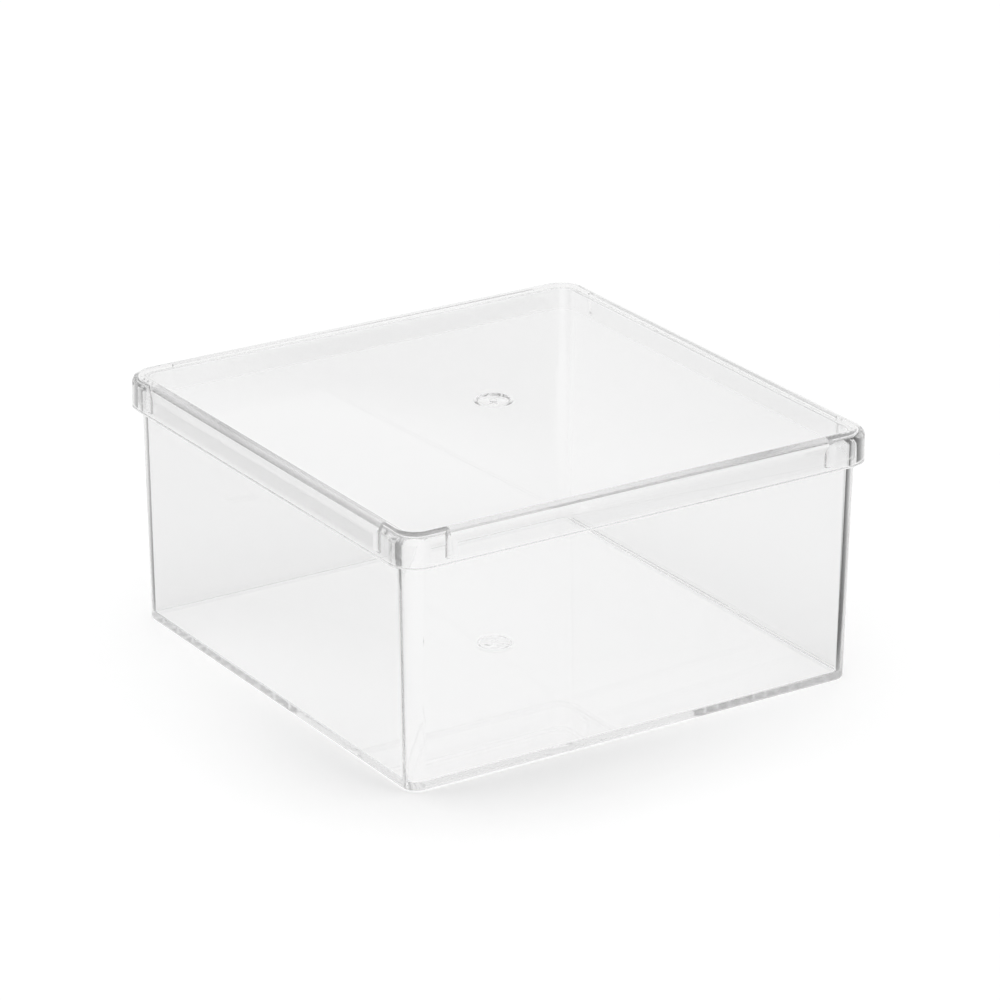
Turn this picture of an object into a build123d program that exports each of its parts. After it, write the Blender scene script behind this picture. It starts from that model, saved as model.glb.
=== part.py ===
from build123d import *
import math
import os

# Clear square storage box with a slip-on lid, both injection moulded.
# Millimetres, +Z up, origin in the middle of the underside, box closed.

# Overall size
lid_side = 100.0            # outside width of the lid at its lower edge, the same both ways
closed_height = 49.2        # table to the top of the closed lid

# Lid
lid_corner_radius = 5.4     # vertical corner of the skirt, outside
lid_plate = 1.05            # thickness of the flat top
skirt_height = 6.35         # top of the lid to the skirt's lower edge
skirt_wall = 1.4            # thickness of the skirt at its lower edge
skirt_draft = 0.5           # degrees, inside and outside, wider towards the opening
lid_top_round = 1.85        # round along the outer top edge
skirt_lip_round = 0.2       # round along the inner lower edge, which leads the lid on
lid_inner_round = 0.3       # round between the underside of the plate and the skirt

# Shoulders: the skirt thickens below the plate along each side, from rib to rib
shoulder_height = 2.2
shoulder_width = 1.1

# Centring ribs inside the skirt, two in each corner
rib_radius = 3.0            # a rib is a thin slice of an upright post of this radius
rib_from_side = 9.9         # outside of the lid to the middle of the rib next to it
rib_stop = 0.6              # lower edge of the skirt to the lower end of a rib
rib_clearance = 0.1         # face of a rib to the rim of the box body
rib_end_round = 0.6         # round at the lower end of a rib

# Box body
body_inset = 1.8            # outside of the lid to outside of the body's rim
body_corner_radius = 3.8    # vertical corner of the body at the rim, outside
body_wall = 1.4
body_floor = 1.3
body_draft = 1.0            # degrees, the walls widen towards the rim
foot_round = 0.7            # round along the outer bottom edge
floor_round = 0.55          # round between the floor and the inside of the walls
rim_outer_round = 0.5       # leads the lid on and carries its shoulders
rim_inner_round = 0.15
seat_clearance = 0.02       # rim of the closed box to the shoulders

# Gate wells, where the plastic entered the moulds: in the lid's top and the body's underside
well_diameter = 6.2
well_depth = 0.5
well_lean = 0.2             # how much the wall of a well closes in over its depth
gate_diameter = 1.4
gate_height = 0.3
dome_diameter = 7.4         # bulge on the far side of a well
dome_height = 0.35

overrun = 1.0               # how far a cut passes the face that it opens

# Sizes worked out from the ones above
lid_half = lid_side / 2
plate_low = closed_height - lid_plate
skirt_low = closed_height - skirt_height
rim_half = lid_half - body_inset
skirt_gap = body_inset - skirt_wall
shoulder_radius = (shoulder_height**2 + shoulder_width**2) / (2 * shoulder_width)
rib_face = rim_half + rib_clearance
rib_aside = lid_half - rib_from_side


def shoulder_rise(inward):
    """How far under the plate a shoulder's face is, at a distance inward from the skirt's wall."""
    left = shoulder_radius - min(inward, shoulder_width)
    return shoulder_height - math.sqrt(shoulder_radius**2 - left**2)


def seat_drop():
    """How far under the plate the rim stops, where its outer round meets the shoulders."""
    drops = []
    for angle in range(0, 91, 5):
        way = math.radians(angle)
        inward = skirt_gap + rim_outer_round * (1 - math.cos(way))
        lower = rim_outer_round * (1 - math.sin(way))
        drops.append(shoulder_rise(inward) - lower)
    return max(drops) + seat_clearance


rim_height = plate_low - seat_drop()
body_lean = math.tan(math.radians(body_draft))
foot_half = rim_half - rim_height * body_lean
foot_corner_radius = body_corner_radius - rim_height * body_lean


def drafted_block(half, radius, low, high, taper):
    """Square block with round corners, given by its low end, that closes in upwards by the taper."""
    low_end = Plane.XY.offset(low) * RectangleRounded(2 * half, 2 * half, radius)
    return extrude(low_end, amount=high - low, taper=taper)


def turned(outline):
    """A solid turned about the vertical axis from an outline drawn as radius and height."""
    return revolve(Plane.XZ * make_face(outline), Axis.Z)


def gate_well():
    """What is cut out for a well in a face at height zero, with the plastic above; the gate's stub stays."""
    well = well_diameter / 2
    gate = gate_diameter / 2
    stub = well_depth - gate_height
    outline = Polyline(
        (0, -overrun),
        (well, -overrun),
        (well, 0),
        (well - well_lean, well_depth),
        (gate, well_depth),
        (gate, stub),
        (0, stub),
        close=True,
    )
    return turned(outline)


def gate_dome():
    """The low bulge that keeps the plastic thick over a well; its base lies a little under height zero."""
    dome = dome_diameter / 2
    outline = TangentArc((0, dome_height), (dome, 0), tangent=(1, 0))
    outline += Polyline((dome, 0), (dome, -dome_height), (0, -dome_height), (0, dome_height))
    return turned(outline)


def make_box_body():
    outside = drafted_block(foot_half, foot_corner_radius, 0, rim_height, -body_draft)
    outside = fillet(outside.edges().group_by(Axis.Z)[0], foot_round)
    outside = fillet(outside.edges().group_by(Axis.Z)[-1], rim_outer_round)
    floor_half = foot_half + body_floor * body_lean - body_wall
    floor_corner_radius = foot_corner_radius + body_floor * body_lean - body_wall
    inside = drafted_block(floor_half, floor_corner_radius, body_floor, rim_height + overrun, -body_draft)
    inside = fillet(inside.edges().group_by(Axis.Z)[0], floor_round)
    body = outside - inside
    rim = body.faces().sort_by(Axis.Z)[-1]
    body = fillet(rim.inner_wires()[0].edges(), rim_inner_round)
    return body + Pos(0, 0, body_floor) * gate_dome() - gate_well()


def make_rib():
    """One rib, against the skirt on the +X side of the lid, standing at y = 0."""
    back = lid_half - skirt_wall / 2
    low = skirt_low + rib_stop
    height = plate_low + lid_plate / 2 - low
    post = Cylinder(rib_radius, height)
    post = fillet(post.edges().group_by(Axis.Z)[0], rib_end_round)
    post = Pos(rib_face + rib_radius, 0, 0) * post
    slab = Pos((rib_face + back) / 2, 0, 0) * Box(back - rib_face, 2 * rib_radius, height)
    return Pos(0, 0, low + height / 2) * (post & slab)


def make_shoulder():
    """The shoulder along the +X side of the lid, from rib to rib; its face leaves the skirt in a round."""
    wall = lid_half - skirt_wall
    back = lid_half - skirt_wall / 2
    inner = wall - shoulder_width
    low = plate_low - shoulder_height
    top = plate_low + lid_plate / 2
    outline = TangentArc((wall, low), (inner, plate_low), tangent=(0, 1))
    outline += Polyline((inner, plate_low), (inner, top), (back, top), (back, low), (wall, low))
    bar = extrude(Plane.XZ * make_face(outline), amount=2 * rib_aside)
    return Pos(0, rib_aside, 0) * bar


def make_lid():
    outside = drafted_block(lid_half, lid_corner_radius, skirt_low, closed_height, skirt_draft)
    outside = fillet(outside.edges().group_by(Axis.Z)[-1], lid_top_round)
    inside = drafted_block(
        lid_half - skirt_wall, lid_corner_radius - skirt_wall, skirt_low, plate_low, skirt_draft
    )
    inside = fillet(inside.edges().group_by(Axis.Z)[-1], lid_inner_round)
    lid = outside - inside
    lip = lid.faces().sort_by(Axis.Z)[0]
    lid = fillet(lip.inner_wires()[0].edges(), skirt_lip_round)
    rib = make_rib()
    shoulder = make_shoulder()
    for quarter in range(4):
        side = Rot(0, 0, 90 * quarter)
        lid += side * shoulder
        for place in (-rib_aside, rib_aside):
            lid += side * Pos(0, place, 0) * rib
    lid += Pos(0, 0, plate_low) * Rot(180, 0, 0) * gate_dome()
    return lid - Pos(0, 0, closed_height) * Rot(180, 0, 0) * gate_well()


os.makedirs("parts", exist_ok=True)
export_step(make_box_body(), "parts/box_body.step")
export_step(make_lid(), "parts/lid.step")
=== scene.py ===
import math

import bpy
from mathutils import Matrix, Vector

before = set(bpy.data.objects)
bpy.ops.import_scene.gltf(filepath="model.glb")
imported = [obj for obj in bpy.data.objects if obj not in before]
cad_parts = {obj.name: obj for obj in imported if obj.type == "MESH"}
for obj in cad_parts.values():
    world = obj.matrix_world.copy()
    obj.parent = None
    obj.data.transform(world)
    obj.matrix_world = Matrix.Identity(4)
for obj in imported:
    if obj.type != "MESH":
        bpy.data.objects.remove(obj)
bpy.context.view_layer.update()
scene = bpy.context.scene
mm = 0.001
pureWhite = (1.0, 1.0, 1.0, 1.0)


def linearColour(hexColour):
    channels = [int(hexColour[i:i + 2], 16) / 255 for i in (1, 3, 5)]
    linear = [c / 12.92 if c <= 0.04045 else ((c + 0.055) / 1.055) ** 2.4 for c in channels]
    return (*linear, 1.0)


def addNode(tree, kind, inputs=None, **settings):
    # inputs are values or output sockets, by the name or number of the input
    node = tree.nodes.new(kind)
    for name, value in settings.items():
        setattr(node, name, value)
    for name, value in (inputs or {}).items():
        if isinstance(value, bpy.types.NodeSocket):
            tree.links.new(value, node.inputs[name])
        else:
            node.inputs[name].default_value = value
    return node


def newMaterial(name):
    material = bpy.data.materials.new(name)
    material.use_nodes = True
    material.node_tree.nodes.clear()
    return material


# Crystal polystyrene, injection moulded in a polished steel mould: water-clear, with mirror-smooth faces
# that are flat only to a micron or so, so that edges seen through a wall waver a little. Light that runs
# a long way inside a wall or the plate comes out gray, a little more so in the lid.
clearPlastic = {
    "colour": "#FFFFFF",
    "ior": 1.59,
    "roughness": 0.0,
    "waveSize": 14.0,           # mm from one shallow wave of the moulded face to the next
    "waveDepth": 0.001,         # mm
    "soakedColour": "#000000",  # every colour is taken alike
}
finishes = {
    "box_body": {"name": "crystalPolystyreneBody", "soak": 0.001},   # share of the light that a mm takes
    "lid": {"name": "crystalPolystyreneLid", "soak": 0.0025},
}


def makeClearPlastic(name, facts, soak):
    material = newMaterial(name)
    tree = material.node_tree
    place = addNode(tree, "ShaderNodeTexCoord")
    wave = addNode(tree, "ShaderNodeTexNoise", {
        "Vector": place.outputs["Object"], "Scale": 1 / (facts["waveSize"] * mm), "Detail": 1.0})
    bump = addNode(tree, "ShaderNodeBump", {
        "Height": wave.outputs["Fac"], "Distance": facts["waveDepth"] * mm, "Strength": 1.0})
    plastic = addNode(tree, "ShaderNodeBsdfPrincipled", {
        "Base Color": linearColour(facts["colour"]), "Roughness": facts["roughness"], "IOR": facts["ior"],
        "Transmission Weight": 1.0, "Normal": bump.outputs["Normal"]})
    gray = addNode(tree, "ShaderNodeVolumeAbsorption", {
        "Color": linearColour(facts["soakedColour"]), "Density": soak / mm})
    addNode(tree, "ShaderNodeOutputMaterial", {"Surface": plastic.outputs[0], "Volume": gray.outputs[0]})
    return material


for nodeName, finish in finishes.items():
    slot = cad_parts[nodeName].material_slots[0]
    slot.material = makeClearPlastic(finish["name"], clearPlastic, finish["soak"])
print("clear plastic: done")


# Solved from the straight edges of the box in the photograph
camera = {
    "azimuth": -32.889, "elevation": 21.588, "roll": 0.214,   # degrees
    "distance": 972.504, "target": (41.299, 61.521, 0.0),     # mm
    "lens": 174.532, "sensor": 36.0,
}


def cameraAxes(facts):
    turn, tilt, roll = (math.radians(facts[name]) for name in ("azimuth", "elevation", "roll"))
    back = Vector((math.sin(turn) * math.cos(tilt), -math.cos(turn) * math.cos(tilt), math.sin(tilt)))
    right = (-back).cross(Vector((0, 0, 1))).normalized()
    up = right.cross(-back)
    rolledRight = right * math.cos(roll) + up * math.sin(roll)
    rolledUp = up * math.cos(roll) - right * math.sin(roll)
    return rolledRight, rolledUp, back


rightAxis, upAxis, backAxis = cameraAxes(camera)
place = (Vector(camera["target"]) + backAxis * camera["distance"]) * mm
lens = bpy.data.cameras.new("camera")
lens.lens = camera["lens"]
lens.sensor_width = camera["sensor"]
cameraObject = bpy.data.objects.new("camera", lens)
scene.collection.objects.link(cameraObject)
aim = Matrix((rightAxis, upAxis, backAxis)).transposed().to_4x4()
cameraObject.matrix_world = Matrix.Translation(place) @ aim
scene.camera = cameraObject
print("camera: done")

# White studio: a pale table in a white tent. The table beyond the box is painted darker at either side, only
# for light turned round inside the plastic.
studio = {
    "high": 0.85,                                                        # overhead
    "midFront": 1.1, "midRight": 0.95, "midBack": 0.8, "midLeft": 1.05,  # around 40 degrees up
    "lowFront": 1.0, "lowRight": 1.1, "lowBack": 1.0, "lowLeft": 0.7,    # near the horizon
    "lowEnd": 0.2, "midStart": 0.55,                                     # sines of the elevations between
    "midEnd": 0.65, "highStart": 0.9,                                    # which one ring blends to the next
    "backdrop": 1.0,                                                     # as the camera sees it
}
table = {
    "colour": "#F0F0F0",
    "glow": 0.23,          # added where the eye sees it, straight or mirrored
    "glowThrough": 0.13,   # added where it is seen through the plastic
    "size": 4.0,           # m
    "drop": 0.1,           # mm under the box, so that the two faces don't coincide
}
# The soft shade of the box on the paper
shades = {
    "reach": 40.0,                                             # mm
    "Front": 0.25, "Right": 0.08, "Back": 0.06, "Left": 0.07,  # share of the light taken beside each wall
    "noShade": 0.97, "fullShade": 0.5,                         # openness where it starts and is full
    "under": 0.35, "beside": 0.55,                             # openness of paper under and beside the box
    "rays": 16,                                                # rays that look for the box
}
# Painted shade: brightness of the table beyond the box, only for light that was turned round inside the
# plastic, which paints the dark lines of the upright edges. Start and full in mm from the middle.
paintedEdgeShade = {"start": 48.0, "full": 80.0, "Front": 1.0, "Right": 0.1, "Back": 1.0, "Left": 0.15}

frontWay = Vector((backAxis.x, backAxis.y, 0)).normalized()
rightWay = Vector((-frontWay.y, frontWay.x, 0))
sides = {"Front": frontWay, "Right": rightWay, "Back": -frontWay, "Left": -rightWay}


def sideWeights(tree, direction):
    # how far a level direction lies towards each side, as the square of its cosine, so that they add up to 1
    level = addNode(tree, "ShaderNodeVectorMath", {0: direction, 1: (1, 1, 0)}, operation="MULTIPLY")
    unit = addNode(tree, "ShaderNodeVectorMath", {0: level.outputs[0]}, operation="NORMALIZE")
    weights = {}
    for side, way in sides.items():
        cosine = addNode(tree, "ShaderNodeVectorMath", {0: unit.outputs[0], 1: way}, operation="DOT_PRODUCT")
        positive = addNode(tree, "ShaderNodeMath", {0: cosine.outputs["Value"], 1: 0.0}, operation="MAXIMUM")
        square = addNode(tree, "ShaderNodeMath", {0: positive.outputs[0], 1: 2.0}, operation="POWER")
        weights[side] = square.outputs[0]
    return weights


def weighted(tree, weights, values):
    # the sum of the weights times the values
    total = None
    for side, value in values.items():
        part = addNode(tree, "ShaderNodeMath", {0: weights[side], 1: value}, operation="MULTIPLY")
        if total is not None:
            part = addNode(tree, "ShaderNodeMath", {0: total, 1: part.outputs[0]}, operation="ADD")
        total = part.outputs[0]
    return total


world = bpy.data.worlds.new("whiteTent")
scene.world = world
world.use_nodes = True
tree = world.node_tree
tree.nodes.clear()
direction = addNode(tree, "ShaderNodeTexCoord").outputs["Generated"]
weights = sideWeights(tree, direction)
low = weighted(tree, weights, {side: studio["low" + side] for side in sides})
mid = weighted(tree, weights, {side: studio["mid" + side] for side in sides})
height = addNode(tree, "ShaderNodeSeparateXYZ", {0: direction}).outputs["Z"]
lowToMid = addNode(tree, "ShaderNodeMapRange", {
    "Value": height, "From Min": studio["lowEnd"], "From Max": studio["midStart"]})
midToHigh = addNode(tree, "ShaderNodeMapRange", {
    "Value": height, "From Min": studio["midEnd"], "From Max": studio["highStart"]})
lower = addNode(tree, "ShaderNodeMix", {0: lowToMid.outputs[0], 2: low, 3: mid})
tent = addNode(tree, "ShaderNodeMix", {0: midToHigh.outputs[0], 2: lower.outputs[0], 3: studio["high"]})
seen = addNode(tree, "ShaderNodeLightPath").outputs["Is Camera Ray"]
shown = addNode(tree, "ShaderNodeMix", {0: seen, 2: tent.outputs[0], 3: studio["backdrop"]})
tentLight = addNode(tree, "ShaderNodeBackground", {"Color": pureWhite, "Strength": shown.outputs[0]})
addNode(tree, "ShaderNodeOutputWorld", {"Surface": tentLight.outputs[0]})
print("studio light: done")

bpy.ops.mesh.primitive_plane_add(size=table["size"])
tableTop = bpy.context.object
tableTop.name = "table"
tableTop.data.transform(Matrix.Translation((0, 0, -table["drop"] * mm)))
paper = newMaterial("matteWhitePaper")
tree = paper.node_tree
ray = addNode(tree, "ShaderNodeLightPath")
through = ray.outputs["Is Transmission Ray"]
direct = addNode(tree, "ShaderNodeMath", {
    0: ray.outputs["Is Camera Ray"], 1: ray.outputs["Is Glossy Ray"]}, operation="MAXIMUM")
looked = addNode(tree, "ShaderNodeMath", {0: direct.outputs[0], 1: through}, operation="MAXIMUM")
lit = addNode(tree, "ShaderNodeBsdfDiffuse", {"Color": linearColour(table["colour"])})
lift = addNode(tree, "ShaderNodeMix", {0: through, 2: table["glow"], 3: table["glowThrough"]})
glow = addNode(tree, "ShaderNodeEmission", {"Color": pureWhite, "Strength": lift.outputs[0]})
white = addNode(tree, "ShaderNodeAddShader", {0: lit.outputs[0], 1: glow.outputs[0]})
# the shade beside the box, which stops where the box stands on the paper
spot = addNode(tree, "ShaderNodeTexCoord").outputs["Object"]
weights = sideWeights(tree, spot)
deepest = weighted(tree, weights, {side: shades[side] for side in sides})
occlusion = addNode(tree, "ShaderNodeAmbientOcclusion", {
    "Distance": shades["reach"] * mm}, samples=shades["rays"])
openness = occlusion.outputs["AO"]
beside = addNode(tree, "ShaderNodeMapRange", {
    "Value": openness, "From Min": shades["noShade"], "From Max": shades["fullShade"], "To Max": deepest})
contact = addNode(tree, "ShaderNodeMapRange", {
    "Value": openness, "From Min": shades["under"], "From Max": shades["beside"]})
shade = addNode(tree, "ShaderNodeMath", {0: beside.outputs[0], 1: contact.outputs[0]}, operation="MULTIPLY")
shaded = addNode(tree, "ShaderNodeMixShader", {0: shade.outputs[0], 1: white.outputs[0]})
seenPaper = addNode(tree, "ShaderNodeMixShader", {
    0: looked.outputs[0], 1: lit.outputs[0], 2: shaded.outputs[0]})
# the painted dark patches on the table, seen only by light turned round inside the plastic, which come in
# away from the box
away = addNode(tree, "ShaderNodeVectorMath", {0: spot}, operation="LENGTH").outputs["Value"]
outside = addNode(tree, "ShaderNodeMapRange", {
    "Value": away, "From Min": paintedEdgeShade["start"] * mm, "From Max": paintedEdgeShade["full"] * mm},
    interpolation_type="SMOOTHSTEP")
bounces = addNode(tree, "ShaderNodeMath", {0: ray.outputs["Glossy Depth"], 1: 1.0}, operation="MINIMUM")
turnedRound = addNode(tree, "ShaderNodeMath", {0: bounces.outputs[0], 1: through}, operation="MULTIPLY")
onPaintedEdgeShade = addNode(tree, "ShaderNodeMath", {
    0: turnedRound.outputs[0], 1: outside.outputs[0]}, operation="MULTIPLY")
paintedEdgeTone = weighted(tree, weights, {side: paintedEdgeShade[side] for side in sides})
# painted shade: the table emits this darker tone in place of the paper for light turned round inside the
# plastic
paintedEdgeEmission = addNode(tree, "ShaderNodeEmission", {"Color": pureWhite, "Strength": paintedEdgeTone})
mix = addNode(tree, "ShaderNodeMixShader", {
    0: onPaintedEdgeShade.outputs[0], 1: seenPaper.outputs[0], 2: paintedEdgeEmission.outputs[0]})
addNode(tree, "ShaderNodeOutputMaterial", {"Surface": mix.outputs[0]})
tableTop.data.materials.append(paper)
print("table: done")

scene.view_settings.view_transform = "Standard"
lightBounces = 1024   # light runs a long way inside the thin walls before it leaves them
scene.cycles.max_bounces = lightBounces
scene.cycles.transmission_bounces = lightBounces
scene.cycles.glossy_bounces = lightBounces
scene.cycles.volume_bounces = 0
scene.cycles.blur_glossy = 0.0   # otherwise light through the box hardly reaches the table
